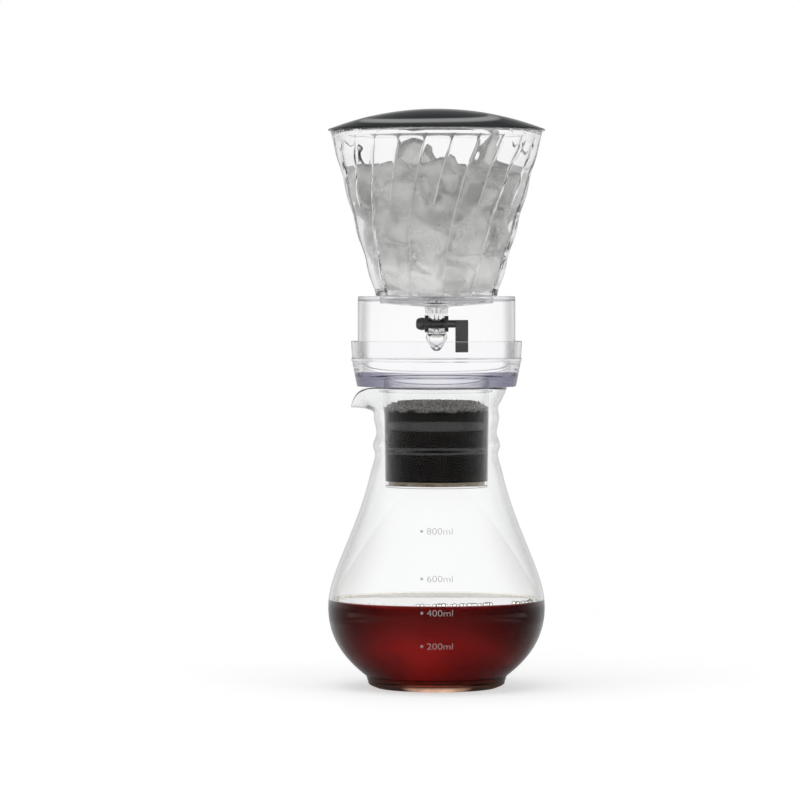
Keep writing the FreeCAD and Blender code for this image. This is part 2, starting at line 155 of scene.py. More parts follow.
def ramp(tree, share, *stops):
    """Goes through colours or grey levels, each set at its own share."""
    made = node(tree, "ValToRGB", {"Fac": share})
    stages = made.color_ramp.elements
    stages[0].position, stages[-1].position = stops[0][0], stops[-1][0]
    for spot, _ in stops[1:-1]:
        stages.new(spot)
    for stage, (_, colour) in zip(stages, stops):
        stage.color = (*colour, 1.0) if isinstance(colour, tuple) else (colour, colour, colour, 1.0)
    return made.outputs["Color"]


def scaled(tree, colour, level):
    """A colour made stronger or weaker."""
    return node(tree, "VectorMath", {0: colour, "Scale": level}, operation="SCALE").outputs["Vector"]


def mottle(tree, place, scale, detail=2.0, distortion=0.0):
    """Soft irregular patches."""
    return node(tree, "TexNoise", {"Vector": place, "Scale": scale, "Detail": detail,
                                   "Distortion": distortion}).outputs["Fac"]


def axes(tree, place):
    """The X, Y and Z of a place or direction."""
    return node(tree, "SeparateXYZ", {"Vector": place}).outputs


def group(name, output, **inputs):
    """Shader node group with a Place, named numbers and one output; gives its tree and both its ends."""
    tree = bpy.data.node_groups.new(name, "ShaderNodeTree")
    tree.interface.new_socket(name="Place", in_out="INPUT", socket_type="NodeSocketVector")
    for label, value in inputs.items():
        socket = tree.interface.new_socket(name=label, in_out="INPUT", socket_type="NodeSocketFloat")
        socket.default_value = value
    tree.interface.new_socket(name=output[0], in_out="OUTPUT", socket_type=output[1])
    return tree, tree.nodes.new("NodeGroupInput").outputs, tree.nodes.new("NodeGroupOutput")


# Waves that moulding and blowing leave on a clear or glossy surface.
waves, given, made = group("surface_waves", ("Normal", "NodeSocketVector"), Scale=40.0, Height=0.00005)
broad = mottle(waves, given["Place"], given["Scale"], 1.0)
bumped = node(waves, "Bump", {"Height": broad, "Strength": 1.0, "Distance": given["Height"]})
feed(made, {"Normal": bumped.outputs["Normal"]})

# Marks that handling leaves on it.
marks, given, made = group("handling_marks", ("Roughness", "NodeSocketFloat"), Scale=30.0, Clean=0.0,
                           Marked=0.1)
smear = mottle(marks, given["Place"], given["Scale"], 4.0, 0.6)
feed(made, {"Roughness": graded(marks, smear, 0.45, 0.8, given["Clean"], given["Marked"])})


def opened(material):
    """A material's node tree, its shader, and the place on the object."""
    tree = material.node_tree
    return tree, tree.nodes["Principled BSDF"], tree.nodes["Texture Coordinate"].outputs["Object"]


def finish(name, **sockets):
    """Material with a Principled BSDF; gives the material, its tree, the shader and the place."""
    material = bpy.data.materials.new(name)
    material.use_nodes = True
    node(material.node_tree, "TexCoord", {})
    tree, shader, place = opened(material)
    feed(shader, {label.replace("_", " "): value for label, value in sockets.items()})
    return material, tree, shader, place


def handled(tree, shader, place, mark, wave=None):
    """Gives a shader its marks (scale, cleanest, most marked) and its waves (scale, height)."""
    scale, clean, marked = mark
    marking = node(tree, "Group", {"Place": place, "Scale": scale, "Clean": clean, "Marked": marked},
                   node_tree=marks)
    feed(shader, {"Roughness": marking.outputs["Roughness"]})
    if wave:
        waving = node(tree, "Group", {"Place": place, "Scale": wave[0], "Height": wave[1]}, node_tree=waves)
        feed(shader, {"Normal": waving.outputs["Normal"]})


def clear(name, colour, depth, ior=1.5, wave=(14.0, 0.00003), marked=0.03, edge=0.8, edge_shade_from=0.6):
    """See-through finish: a clear shader with painted shade that greys it towards its edges, its body colour
    and density by depth, faint waves and handling marks."""
    material, tree, shader, place = finish(name, IOR=ior, Transmission_Weight=1.0,
                                           Specular_Tint=(0.1, 0.1, 0.1, 1.0))
    # Painted shade: the colour greys where the surface turns away from the eye.
    sideways_on = node(tree, "LayerWeight", {"Blend": 0.5}).outputs["Facing"]
    greyed_by_painted_shade = graded(tree, sideways_on, edge_shade_from, edge_shade_from + 0.15)
    tint = mixed(tree, greyed_by_painted_shade, (*colour, 1.0), (*[edge * c for c in colour], 1.0))
    feed(shader, {"Base Color": tint})
    handled(tree, shader, place, (35.0, 0.0, marked), wave)
    body = node(tree, "VolumeAbsorption", {"Color": (*depth[0], 1.0), "Density": depth[1]})
    feed(tree.nodes["Material Output"], {"Volume": body.outputs["Volume"]})
    return material


# Only what the eye sees of the glass sideways, or above the shoulder, is shiny, and beside the coffee
# it is duller. The painted shade at the glass's edges is darker on the neck.
carafe_glass = clear("carafe_glass", (0.997, 1.0, 1.0), ((0.60, 0.63, 0.63), 20.0), ior=1.47,
                     wave=(24.0, 0.00006), edge=0.76)
tree, shader, place = opened(carafe_glass)
height = axes(tree, place)["Z"]
# Darker painted edge shade on the neck.
feed(tree.nodes["Mix"], {"B": graded(tree, height, 0.112, 0.122, 0.76, 0.62)})
above_shoulder = graded(tree, height, 0.095, 0.115)
sideways_on = graded(tree, tree.nodes["Layer Weight"].outputs["Facing"], 0.22, 0.40)
beside_coffee = ramp(tree, graded(tree, height, 0.030, 0.050),
                     (0.0, 0.40), (0.27, 0.40), (0.38, 0.12), (0.70, 0.12), (1.0, 1.0))
shine = maths(tree, "MULTIPLY", maths(tree, "MAXIMUM", above_shoulder, sideways_on), beside_coffee)
behind = node(tree, "NewGeometry", {}).outputs["Backfacing"]
feed(shader, {"Coat Weight": maths(tree, "SUBTRACT", shine, behind, clamp=True), "Coat Roughness": 0.02})


def girth_facing(tree, looking_down=0.0):
    """How far a turned surface faces the eye round its axis, whatever its slope: 1 in the middle, 0 at
    the sides."""
    tilt = axes(tree, tree.nodes["Texture Coordinate"].outputs["Normal"])["Z"]
    upright = maths(tree, "SUBTRACT", 1.001, maths(tree, "MULTIPLY", tilt, tilt))
    girth = maths(tree, "POWER", upright, 0.5)
    turned_off = node(tree, "LayerWeight", {"Blend": 0.5}).outputs["Facing"]
    dipped = maths(tree, "MULTIPLY_ADD", tilt, -looking_down, 1.0)
    return maths(tree, "DIVIDE", maths(tree, "SUBTRACT", dipped, turned_off), girth)


# The pressed heel is cloudier. Its colour is a painted dark amber shade, and low down, where it faces
# the eye, a painted amber glint glows in place of the light that the coffee above it has turned amber.
heel_glass, tree, shader, place = finish("heel_glass", Roughness=0.25, IOR=1.47, Transmission_Weight=0.5,
                                         Emission_Strength=1.0)
cloudy = mottle(tree, place, 120.0)
ahead = graded(tree, girth_facing(tree, 0.09), 0.84, 0.96)
low = graded(tree, axes(tree, place)["Z"], 0.0029, 0.0015)
patchy = graded(tree, cloudy, 0.3, 0.7, 0.40, 0.85)
painted_glow = maths(tree, "MULTIPLY", maths(tree, "MULTIPLY", ahead, low), patchy)
lighting_others = node(tree, "LightPath", {}).outputs["Is Diffuse Ray"]
only_seen = maths(tree, "SUBTRACT", painted_glow, lighting_others, clamp=True)
feed(shader, {"Base Color": ramp(tree, cloudy, (0.0, (0.10, 0.035, 0.025)), (1.0, (0.22, 0.10, 0.07))),
              "Emission Color": scaled(tree, (1.0, 0.60, 0.42), only_seen)})

flank = through(neck_line, 6)[:-1] + arc_of(shoulder_poles, 30)[:-1] + arc_of(belly_poles, 26)
outer = flank[:-1] + through(heel_line, 5)[:-1] + through(base_line, 5)
inner = sideways(flank[:-2], glass_wall)
rim_centre = Vector((neck_line[0][0] - glass_wall / 2, 0.0, rim_middle))
rim = [rim_centre + Vector((math.cos(a), 0.0, math.sin(a))) * glass_wall / 2
       for a in [math.radians(30 * i) for i in range(5, 0, -1)]]
for point in outer:
    point.z = max(point.z, 0.0)
inside = [p for p in reversed(inner) if inner_foot_top < p.z < inner_rim_foot]
carafe = turn(through(inner_foot_line, 5)[:-1] + inside + rim + outer, 160)

rim_top, spout_foot, spout_reach, spout_drop, spout_wide, spout_narrow = 164.0, 147.5, 8.6, 11.4, 23.0, 12.4
for vert in carafe.verts:
    rise = min(1.0, (vert.co.z / mm - spout_foot) / (rim_top - spout_foot))
    if rise > 0 and vert.co.x < 0:
        off_centre = math.degrees(math.atan2(abs(vert.co.y), -vert.co.x))
        out = spout_reach * math.exp(-(off_centre / spout_wide) ** 2.4)
        down = spout_drop * math.exp(-(off_centre / spout_narrow) ** 1.7)
        outward = Vector((vert.co.x, vert.co.y, 0.0)).normalized()
        vert.co += (outward * out + Vector((0.0, 0.0, -down))) * rise ** 1.5 * mm
for face in carafe.faces:
    middle = face.calc_center_median()
    face.material_index = int(middle.z < heel_top * mm and middle.xy.length > heel_inside * mm)
carafe_shell = piece("carafe_shell", carafe, "carafe", carafe_glass)
carafe_shell.data.materials.append(heel_glass)
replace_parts(carafe_shell, "carafe")

# ---- Volume marks ----
# Screen-printed on the front of the glass in grey ceramic ink and fired on: a dot and a figure at
# each 200 ml. The print follows the curve of the glass.
mark_heights = {"800ml": 87.4, "600ml": 62.6, "400ml": 44.6, "200ml": 26.6}
mark_width, mark_size, mark_left, dot_left, dot_radius = 14.0, 4.9, -5.8, -8.3, 0.8
ink_proud, stroke_change = 0.04, -0.045
ink, tree, shader, place = finish("mark_ink", Roughness=0.55, Alpha=0.8)
grain = mottle(tree, place, 2500.0)
feed(shader, {"Base Color": ramp(tree, grain, (0.0, 0.38), (1.0, 0.50))})


def glass_radius(height):
    """Outer radius of the glass at a height, both in millimetres."""
    for above, below in zip(outer, outer[1:]):
        if below.z <= height <= above.z:
            share = (height - below.z) / (above.z - below.z)
            return below.x + share * (above.x - below.x)


print_sheet = bmesh.new()
for words, height in mark_heights.items():
    letters = bpy.data.curves.new("letters", "FONT")
    letters.body = words
    letters.size = mark_size
    letters.offset = stroke_change
    holder = bpy.data.objects.new("letters", letters)
    flat = bpy.data.meshes.new_from_object(holder)
    wide = max(v.co.x for v in flat.vertices)
    tall = max(v.co.y for v in flat.vertices)
    flat.transform(Matrix.Translation((mark_left, height - tall / 2, 0.0))
                   @ Matrix.Scale(mark_width / wide, 4, (1, 0, 0)))
    print_sheet.from_mesh(flat)
    bmesh.ops.create_circle(print_sheet, cap_ends=True, radius=dot_radius, segments=20,
                            matrix=Matrix.Translation((dot_left, height, 0.0)))
    bpy.data.objects.remove(holder)
    bpy.data.curves.remove(letters)
    bpy.data.meshes.remove(flat)
for vert in print_sheet.verts:
    reach = glass_radius(vert.co.y) + ink_proud
    vert.co = Vector((vert.co.x, -math.sqrt(reach ** 2 - vert.co.x ** 2), vert.co.y)) * mm
bmesh.ops.recalc_face_normals(print_sheet, faces=print_sheet.faces)
for face in print_sheet.faces:
    if face.normal.y > 0:
        face.normal_flip()
piece("volume_marks", print_sheet, "carafe", ink)

# ---- Coffee in the carafe ----
# Cold-brewed coffee, clear and dark red-brown. It wets the glass, so its edge climbs a little, less
# at the rear. Painted shade makes it nearly black at the foot, at the sides and in a band under the
# surface, and a painted glow makes it red where light gathers, low in front and left of the middle.
coffee_level, climb, wetting, rear_flattening, flat_from = 47.6, 0.9, 0.25, 0.85, 20.0
climb_line = [(0.5, 0.45), (1.3, 0.1), (3.0, 0.0)]
coffee_depth, still = ((0.72, 0.06, 0.05), 46.0), (30.0, 0.00002)
coffee_finish = clear("coffee", (0.92, 0.60, 0.50), coffee_depth, ior=1.34, wave=still, marked=0.0)
tree, shader, place = opened(coffee_finish)
spot = axes(tree, place)
# Painted shade by height: dark at the foot and in a band under the surface, red between.
painted_height_shade = ramp(tree, graded(tree, spot["Z"], 0.0, 0.05),
              (0.0, (0.13, 0.014, 0.012)), (0.11, (0.15, 0.012, 0.010)), (0.19, (0.20, 0.012, 0.010)),
              (0.29, (0.30, 0.06, 0.05)), (0.40, (0.50, 0.30, 0.27)), (0.51, (0.74, 0.48, 0.45)),
              (0.61, (0.62, 0.72, 0.68)), (0.76, (0.40, 0.60, 0.56)), (0.82, (0.28, 0.22, 0.22)),
              (0.90, (0.27, 0.24, 0.24)), (1.0, (0.30, 0.42, 0.40)))
# Painted glow where the surface faces the eye, painted shade at the sides.
painted_glow = ramp(tree, girth_facing(tree), (0.0, 0.04), (0.60, 0.05), (0.76, 0.09), (0.866, 0.20), (0.936, 0.42),
            (0.98, 0.80), (1.0, 1.0))
# A painted red glow, low in front and left of the middle.
lopsided = graded(tree, spot["X"], -0.03, 0.03, 1.25, 0.70)
gathered = ramp(tree, graded(tree, spot["X"], -0.05, 0.05),
                (0.0, 0.5), (0.16, 0.30), (0.25, 0.38), (0.33, 0.62), (0.41, 1.0), (0.49, 0.85), (0.57, 0.48),
                (0.65, 0.34), (0.73, 0.30), (0.81, 0.40), (1.0, 0.6))
front, low = graded(tree, spot["Y"], 0.0, -0.02), graded(tree, spot["Z"], 0.032, 0.020)
narrowed = mixed(tree, maths(tree, "MULTIPLY", front, low), lopsided, maths(tree, "MULTIPLY", gathered, 1.9))
feed(shader, {"Base Color": scaled(tree, painted_height_shade, maths(tree, "MULTIPLY", painted_glow, narrowed))})
coffee_top = clear("coffee_top", (0.92, 0.85, 0.80), coffee_depth, ior=1.34, wave=still, marked=0.0)
feed(opened(coffee_top)[1], {"Coat Weight": 1.0, "Coat Roughness": 0.02, "Coat IOR": 2.4})
coffee_brim = clear("coffee_brim", (0.97, 0.94, 0.90), (coffee_depth[0], 6.0), ior=1.34, wave=still,
                    marked=0.0, edge=0.97)

foot = [p + Vector((0.0, 0.0, -wetting)) for p in through(inner_foot_line, 5)[:-1]]
wet = [p + Vector((wetting, 0.0, 0.0)) for p in reversed(inner)
       if inner_foot_top < p.z < coffee_level + climb]
edge = wet[-1].x
climbing = [(edge - inwards, coffee_level + lift) for inwards, lift in climb_line]
poured = turn(foot + wet + corners(*climbing, (edge / 2, coffee_level), (0.0, coffee_level)), 128)
for vert in poured.verts:
    if vert.co.z > coffee_level * mm and vert.co.y > 0:
        rearwards = min(1.0, vert.co.y / mm / flat_from)
        vert.co.z -= (vert.co.z - coffee_level * mm) * rear_flattening * rearwards
for face in poured.faces:
    above = face.calc_center_median().z / mm - coffee_level
    face.material_index = int(above > -0.1) + int(above > 0.05)
coffee = piece("coffee", poured, "carafe", coffee_finish)
coffee.data.materials.append(coffee_top)
coffee.data.materials.append(coffee_brim)
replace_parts(coffee, "brewed_coffee")

# ---- Bubbles and froth ----
# Bubbles lie along the front edge of the coffee in three broken rows, and fine froth along the rear.
# Each row runs from one bearing to another, in degrees, with a number of bubbles up to a widest size.
bubble_rows = [(-101, -58, 22, 1.45), (-43, -24, 20, 1.25), (-175, -101, 14, 0.6)]
froth_rows = [(8, 172, 200, 0.6), (172, 188, 24, 0.6)]
film_depth, taut = ((0.9, 0.8, 0.7), 2.0), (60.0, 0.00001)
# Bubbles: painted shade round their edges and a painted glow in the middle of each.
bubble_film = clear("bubble_film", (0.99, 0.98, 0.96), film_depth, ior=1.08, wave=taut, marked=0.02,
                    edge=0.05, edge_shade_from=0.2)
tree, shader, place = opened(bubble_film)
painted_centre_glow = graded(tree, tree.nodes["Layer Weight"].outputs["Facing"], 0.12, 0.25, 0.25, 0.0)
feed(shader, {"Emission Color": scaled(tree, (1.0, 0.99, 0.97), painted_centre_glow), "Emission Strength": 1.0})
froth = clear("froth", (0.97, 0.95, 0.91), film_depth, ior=1.05, wave=taut, marked=0.02, edge=0.97)
chance = random.Random(7)
for name, film, arcs in (("coffee_bubbles", bubble_film, bubble_rows), ("coffee_froth", froth, froth_rows)):
    bubbles = bmesh.new()
    for start, end, count, widest in arcs:
        for i in range(count):
            size = chance.uniform(0.5, 1.0) * widest
            angle = math.radians(start + (end - start) * (i + chance.uniform(0.1, 0.9)) / count)
            reach = edge - 0.2 - size - abs(chance.gauss(0.0, 0.8))
            lift = coffee_level + 0.4 + 0.35 * size
            middle = Vector((reach * math.cos(angle), reach * math.sin(angle), lift)) * mm
            bmesh.ops.create_icosphere(bubbles, subdivisions=2, radius=size * mm,
                                       matrix=Matrix.Translation(middle))
    piece(name, bubbles, "carafe", film)

# The finest froth floats in a thin cream-coloured skin over the rear of the coffee, ragged in front.
skin_clearance, skin_lift, skin_thickness, skin_front = 1.2, 0.12, 0.15, 14.0
skin, tree, shader, place = finish("froth_skin", Roughness=0.1, IOR=1.03, Transmission_Weight=1.0)
lace = mottle(tree, place, 350.0, 4.0)
ragged = maths(tree, "MULTIPLY_ADD", lace, 0.010, axes(tree, place)["Y"])
feed(shader, {"Base Color": ramp(tree, lace, (0.35, (0.95, 0.91, 0.83)), (0.65, (1.0, 0.99, 0.95))),
              "Alpha": graded(tree, ragged, 0.021, 0.030, 0.0, 0.9)})
sheet = bmesh.new()
bmesh.ops.create_circle(sheet, cap_ends=True, radius=(edge - skin_clearance) * mm, segments=96,
                        matrix=Matrix.Translation((0.0, 0.0, (coffee_level + skin_lift) * mm)))
bmesh.ops.bisect_plane(sheet, geom=sheet.verts[:] + sheet.edges[:] + sheet.faces[:],
                       plane_co=(0.0, skin_front * mm, 0.0), plane_no=(0.0, -1.0, 0.0), clear_outer=True)
grown = bmesh.ops.extrude_face_region(sheet, geom=sheet.faces[:])
bmesh.ops.translate(sheet, vec=(0.0, 0.0, skin_thickness * mm),
                    verts=[v for v in grown["geom"] if isinstance(v, bmesh.types.BMVert)])
bmesh.ops.recalc_face_normals(sheet, faces=sheet.faces)
piece("froth_skin", sheet, "carafe", skin, weighted=True)

# ---- Collar ----
# A clear acrylic ring, cast thick enough to show the material's violet cast. It stands on the
# carafe's rim, a short spigot keeps it central, a ledge carries the drip chamber, and a raised band
# runs round the outside level with the ledge.
collar_cast, cast_wave = ((0.40, 0.38, 0.62), 2.5), (16.0, 0.00004)
foot_top, foot_inside = 172.2, 42.0
collar_plastic = clear("collar_plastic", (0.985, 0.985, 0.99), collar_cast, ior=1.49, wave=cast_wave,
                       edge=0.62, edge_shade_from=0.40)
# The foot's outer wall has a dark violet painted shade everywhere but where it faces the eye.
collar_foot = clear("collar_foot", (0.99, 0.99, 0.995), collar_cast, ior=1.49, wave=cast_wave,
                    edge=0.45, edge_shade_from=0.0)
feed(collar_foot.node_tree.nodes["Map Range"], {"From Max": 0.26})
feed(collar_foot.node_tree.nodes["Mix"], {"B": (0.17, 0.165, 0.24, 1.0)})
collar_level = clear("collar_level", (1.0, 1.0, 1.0), collar_cast, ior=1.49, wave=cast_wave, edge=1.0)


def soften(bm, width):
    """Rounds the sharp edges."""
    sharp = [e for e in bm.edges if len(e.link_faces) == 2 and e.calc_face_angle() > math.radians(25.0)]
    bmesh.ops.bevel(bm, geom=sharp, offset=width * mm, offset_type="OFFSET", segments=2,
                    profile=0.5, affect="EDGES", clamp_overlap=True, material=-1)


spigot = [(29.1, 161.0), (30.7, 161.0), (30.7, 164.05), (43.3, 164.05)]
band = [(44.9, foot_top), (46.0, 177.9), (46.5, 177.9), (46.5, 179.4), (46.0, 179.4), (46.6, 188.8),
        (45.1, 188.8), (44.5, 179.4)]
ledge = [(40.9, 179.4), (40.9, 169.7), (29.1, 169.7)]
collar = turn(corners(*spigot, *band, *ledge), 144)
soften(collar, 0.25)
for face in collar.faces:
    middle = face.calc_center_median()
    in_foot = middle.z < foot_top * mm and middle.xy.length > foot_inside * mm
    face.material_index = 2 if abs(face.normal.z) > 0.9 else int(in_foot)
collar_ring = piece("collar_ring", collar, "collar", collar_plastic, weighted=True)
collar_ring.data.materials.append(collar_foot)
collar_ring.data.materials.append(collar_level)
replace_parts(collar_ring, "collar")

# ---- Filter cup ----
# A thin clear cup, injection moulded with a slight taper, that hangs by its flange in the collar. A
# sill round the open bottom carries the filter plate.
cup_plastic = clear("cup_plastic", (0.99, 0.99, 0.99), ((0.62, 0.62, 0.64), 24.0), wave=(20.0, 0.00004))
cup = turn(corners((27.9, 109.1), (28.8, 169.75), (37.0, 169.75), (37.0, 171.5), (27.5, 171.5), (27.5, 169.7),
                   (26.6, 110.1), (24.2, 110.1), (24.2, 109.1)), 128)
soften(cup, 0.2)
cup_shell = piece("cup_shell", cup, "filter_cup", cup_plastic, weighted=True)
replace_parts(cup_shell, "filter_cup")

# ---- Filter plate and paper ----
# The plate is a drilled disc of cream plastic, stained by the coffee; a round paper filter lies on it
# under the grounds.
cream, tree, shader, place = finish("cream_plastic", Roughness=0.5)
stain = mottle(tree, place, 180.0, 4.0)
feed(shader, {"Base Color": ramp(tree, stain, (0.35, (0.30, 0.20, 0.11)), (0.65, (0.75, 0.66, 0.50)))})
paper, tree, shader, place = finish("wet_paper", Roughness=0.8)
fibre = mottle(tree, place, 900.0, 5.0, 1.0)
pressed = node(tree, "Bump", {"Height": fibre, "Distance": 0.0001})
feed(shader, {"Base Color": ramp(tree, fibre, (0.0, (0.45, 0.33, 0.20)), (1.0, (0.85, 0.76, 0.60))),
              "Normal": pressed.outputs["Normal"]})


def refinish(node_name, material):
    """Gives a plain piece that is already right in shape its finish."""
    nodes[node_name].data.materials.clear()
    nodes[node_name].data.materials.append(material)


refinish("filter_plate", cream)
refinish("paper_filter", paper)

# ---- Coffee grounds ----
# Medium-ground coffee, tamped by hand. The wet side against the cup is nearly black, and the dry top
# is loose and grey-brown, with single grains lying on it. The top's colour is partly painted light: it
# is made much lighter than dry coffee to stand in for the light that the glass keeps from it.
grounds_edge, grounds_rise, grounds_top, grain_top = 153.6, 2.6, 156.9, 156.4
grain_count, grain_reach, bed_radius = 900, 26.6, 27.05
grounds_finish, tree, shader, place = finish("coffee_grounds", Roughness=0.85, Specular_IOR_Level=0.12)
chips = node(tree, "TexVoronoi", {"Vector": place, "Scale": 1100.0}).outputs
clumps = mottle(tree, place, 160.0, 5.0)
level = maths(tree, "SUBTRACT", axes(tree, place)["Z"], maths(tree, "MULTIPLY", clumps, 0.006))
dryness = graded(tree, level, 0.1470, 0.1490)
wet_tint = ramp(tree, chips["Color"], (0.0, (0.006, 0.004, 0.002)), (1.0, (0.012, 0.008, 0.004)))
# The dry colour is partly painted light, much lighter than dry coffee.
dry_tint_with_painted_light = ramp(tree, chips["Color"], (0.0, (0.16, 0.145, 0.13)), (1.0, (0.95, 0.91, 0.87)))
rough_top = node(tree, "Bump", {"Height": chips["Distance"], "Distance": 0.0003, "Strength": dryness})
feed(shader, {"Base Color": mixed(tree, dryness, wet_tint, dry_tint_with_painted_light), "Normal": rough_top.outputs["Normal"]})

crown = [(27.4, 0.0), (26.3, 0.8), (23.5, 1.5), (17.5, 2.1), (9.5, 2.5), (0.0, grounds_rise)]
bed = turn(corners((0.0, 112.4), (26.77, 112.4), *[(r, grounds_edge + rise) for r, rise in crown]), 128)
crown_edges = [e for e in bed.edges if min(v.co.z for v in e.verts) > (grounds_edge - 0.1) * mm]
bmesh.ops.subdivide_edges(bed, edges=crown_edges, cuts=3, use_grid_fill=True)
for vert in bed.verts:
    if vert.co.z > grounds_edge * mm:
        vert.co.z += 0.8 * mm * (noise.noise(vert.co * 220.0) + 0.5 * noise.noise(vert.co * 700.0))
        vert.co.z = min(vert.co.z, grounds_top * mm)
grounds_bed = piece("grounds_bed", bed, "filter_cup", grounds_finish)
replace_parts(grounds_bed, "coffee_grounds")

chance = random.Random(11)
loose = bmesh.new()
for _ in range(grain_count):
    reach = grain_reach * math.sqrt(chance.random())
    angle = chance.uniform(0.0, 2 * math.pi)
    lift = grounds_edge + grounds_rise * (1.0 - (reach / bed_radius) ** 2) ** 0.6
    size = chance.uniform(0.25, 0.75)
    height = min(lift + chance.uniform(-0.4, 0.7), grain_top)
    spot = Vector((reach * math.cos(angle), reach * math.sin(angle), height)) * mm
    tumble = Matrix.Rotation(chance.uniform(0, 6), 4, (chance.random(), chance.random(), 1.0))
    stretch = Matrix.Diagonal((1.0, chance.uniform(0.5, 1.0), chance.uniform(0.4, 0.9), 1.0))
    bmesh.ops.create_icosphere(loose, subdivisions=1, radius=size * mm,
                               matrix=Matrix.Translation(spot) @ tumble @ stretch)
piece("loose_grounds", loose, "filter_cup", grounds_finish)

# ---- Drip chamber ----
# A clear moulded skirt with a flat top. The water container's foot drops into the hole in the top, and
# the skirt stands on the collar's ledge.
clear_plastic = clear("clear_plastic", (1.0, 1.0, 1.0), ((0.60, 0.58, 0.63), 20.0), wave=(14.0, 0.00004),
                      edge=0.60, edge_shade_from=0.5)
chamber = turn(corners((31.3, 211.0), (31.3, 213.05), (42.9, 213.05), (42.9, 179.45), (41.4, 179.45),
                       (40.7, 211.0)), 144)
soften(chamber, 0.35)
chamber_shell = piece("chamber_shell", chamber, "drip_chamber", clear_plastic, weighted=True)
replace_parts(chamber_shell, "drip_chamber")

# ---- Water container ----
# A clear cone, moulded in one with its foot and outlet boss. Outside it is swirled into round lobes
# with a sharp crease between each two, and rings in the mould ripple it gently; inside it is smooth.
# Every other crease runs all the way down; the rest fade out by half-way down.
cone_foot, cone_rim = 213.1, 303.0
outer_wall, inner_wall = (33.3, 58.0, 0.6), (30.9, 55.6, 0.6)
wall_steps, wall_rows, lobes = 288, 72, 24
twist_start, twist_travel = 5.0, 20.6
lobe_sink, crease_depth, crease_width, mould_shrink = 0.22, 0.62, 1.0, 0.25
ripple_depth, ripple_top, ripple_pitch = 0.38, 290.2, 21.7
glossy_rim, creases_join = 6.0, 262.0
water_depth = ((0.60, 0.60, 0.62), 18.0)
fluted_plastic = clear("fluted_plastic", (0.99, 0.99, 0.99), water_depth, marked=0.02)
# The crease faces are mostly opaque and near white: painted highlight lines along the creases.
creased_plastic = clear("creased_plastic", (0.96, 0.96, 0.95), water_depth, marked=0.3, edge=1.0)
feed(opened(creased_plastic)[1], {"Transmission Weight": 0.3})


def wall_radius(height, foot, mouth, bulge):
    """Radius of the cone's wall at a height, from the radii at its foot and mouth."""
    share = (height - cone_foot) / (cone_rim - cone_foot)
    return foot + (mouth - foot) * share + 4 * bulge * share * (1 - share)


cone_height = cone_rim - cone_foot
outside_heights = [cone_rim - 0.4 - (cone_height - 0.7) * i / wall_rows for i in range(wall_rows + 1)]
inside_heights = [cone_foot + 3.0 + (cone_height - 3.4) * i / 30 for i in range(31)]
outside = corners(*[(wall_radius(z, *outer_wall), z) for z in outside_heights])
inside = corners(*[(wall_radius(z, *inner_wall), z) for z in inside_heights])
foot = [(32.9, cone_foot), (31.0, cone_foot), (31.0, 209.9), (30.7, 209.6)]
boss = [(7.6, 207.7), (6.6, 207.2), (6.3, 206.6), (6.3, 204.5), (4.02, 204.5), (4.02, 208.7), (1.8, 208.7),
        (1.8, 210.3)]
floor_line = [(15.0, 211.3), (27.5, 212.1), (29.4, 212.8), (30.7, 214.4)]
mouth = corners((56.0, cone_rim), (57.6, cone_rim))
shell = turn(outside + corners(*foot, *boss, *floor_line) + inside + mouth, wall_steps)

lobe_steps, lobe_angle = wall_steps / lobes, 2 * math.pi / lobes
for face in shell.faces:
    middle = face.calc_center_median() / mm
    if middle.z > cone_foot and middle.xy.length > wall_radius(middle.z, *outer_wall) - 1.0:
        steps = math.atan2(middle.y, middle.x) * wall_steps / (2 * math.pi)
        from_long = (steps + lobe_steps) % (2 * lobe_steps)
        if min(steps % lobe_steps, -steps % lobe_steps) < 1.0 and middle.z < cone_rim - glossy_rim:
            on_long = min(from_long, 2 * lobe_steps - from_long) > lobe_steps - 1.0
            face.material_index = int(on_long or middle.z > creases_join)
for vert in shell.verts:
    radius, height = math.hypot(vert.co.x, vert.co.y) / mm, vert.co.z / mm
    if height > cone_foot and radius > wall_radius(height, *outer_wall) - 1.0:
        share = (height - cone_foot) / cone_height
        angle = math.atan2(vert.co.y, vert.co.x)
        number = math.floor(angle / lobe_angle + 1e-4)
        across = angle / lobe_angle - number
        gathered = across - 0.8 * math.sin(2 * math.pi * across) / (2 * math.pi)
        from_crease = min(gathered, 1.0 - gathered)
        from_long = abs((gathered + number % 2 + 1.0) % 2.0 - 1.0)
        fine = min(1.0, max(0.0, (share - 0.5) / 0.35))
        lobe = lobe_sink * ((1.0 - fine) * (1.0 - from_long) ** 2.4 + fine * (1.0 - 2.0 * from_crease) ** 2.4)
        depth = 1.0 if from_long < 0.5 else fine
        beside = from_crease * lobe_angle * radius / crease_width
        crease = depth * crease_depth * max(0.0, 1.0 - beside) ** 1.4
        fade = min(1.0, max(0.0, cone_rim - 2.5 - height) / 9.0) ** 1.5 * min(1.0, (height - cone_foot) / 2.5)
        ripple = ripple_depth * math.cos(2 * math.pi * (height - ripple_top) / ripple_pitch)
        ripple *= min(1.0, (cone_rim - height) / 8.0)
        radius += (ripple - lobe - crease) * fade - mould_shrink
        angle = (number + gathered) * lobe_angle + math.radians(twist_start + twist_travel * share ** 1.6)
        vert.co = Vector((radius * math.cos(angle), radius * math.sin(angle), height)) * mm
container_shell = piece("container_shell", shell, "water_container", fluted_plastic)
container_shell.data.materials.append(creased_plastic)
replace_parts(container_shell, "water_container")

